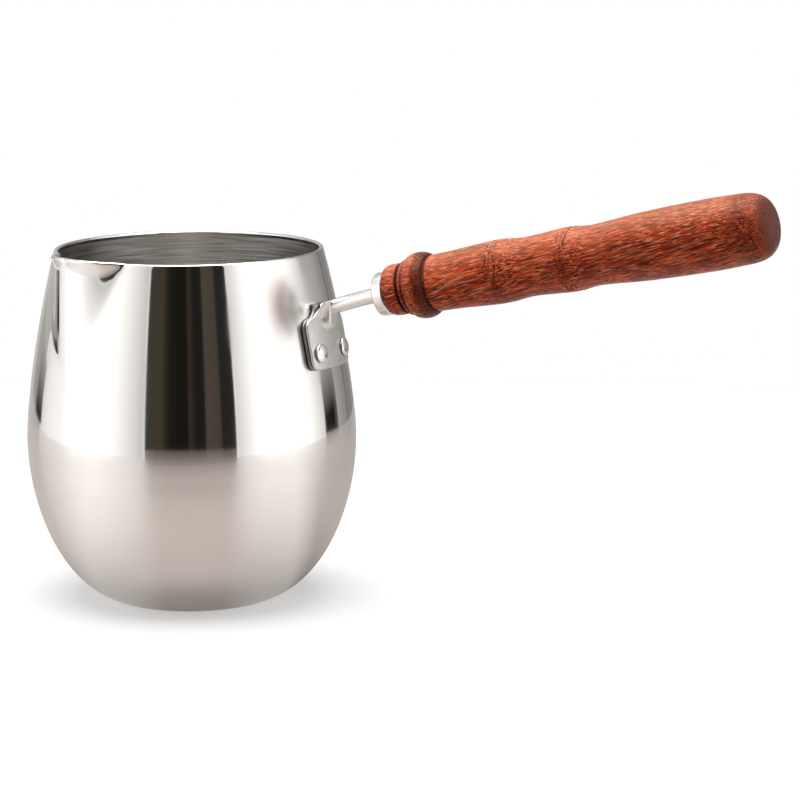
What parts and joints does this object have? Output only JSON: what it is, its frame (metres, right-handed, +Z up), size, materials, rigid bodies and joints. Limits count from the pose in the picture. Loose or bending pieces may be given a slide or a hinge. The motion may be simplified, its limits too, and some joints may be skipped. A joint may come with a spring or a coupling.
{
  "type": "turkish coffee pot",
  "caption": "Round-bellied steel coffee pot with a pressed pouring spout and a turned wooden handle on a riveted bracket.",
  "frame": {"origin": "centre of the flat base that the pot stands on", "axes": "+Z up along the pot's axis, +X toward the handle, spout 111 degrees clockwise from the handle seen from above"},
  "size_m": [0.2141, 0.0905, 0.1186],
  "materials": {
    "polished_steel": "mirror polish",
    "satin_steel": "satin",
    "bright_steel": "polished",
    "insert_brass": "turned",
    "red_wood": "oiled and waxed"
  },
  "bodies": {
    "root": {"pot_body": "polished_steel", "bracket_back_plate": "satin_steel", "bracket_front_plate": "satin_steel", "rivet_left": "bright_steel", "rivet_right": "bright_steel", "handle_rod": "bright_steel", "ferrule": "bright_steel", "threaded_insert": "insert_brass", "wood_handle": "red_wood"}
  },
  "joints": []
}
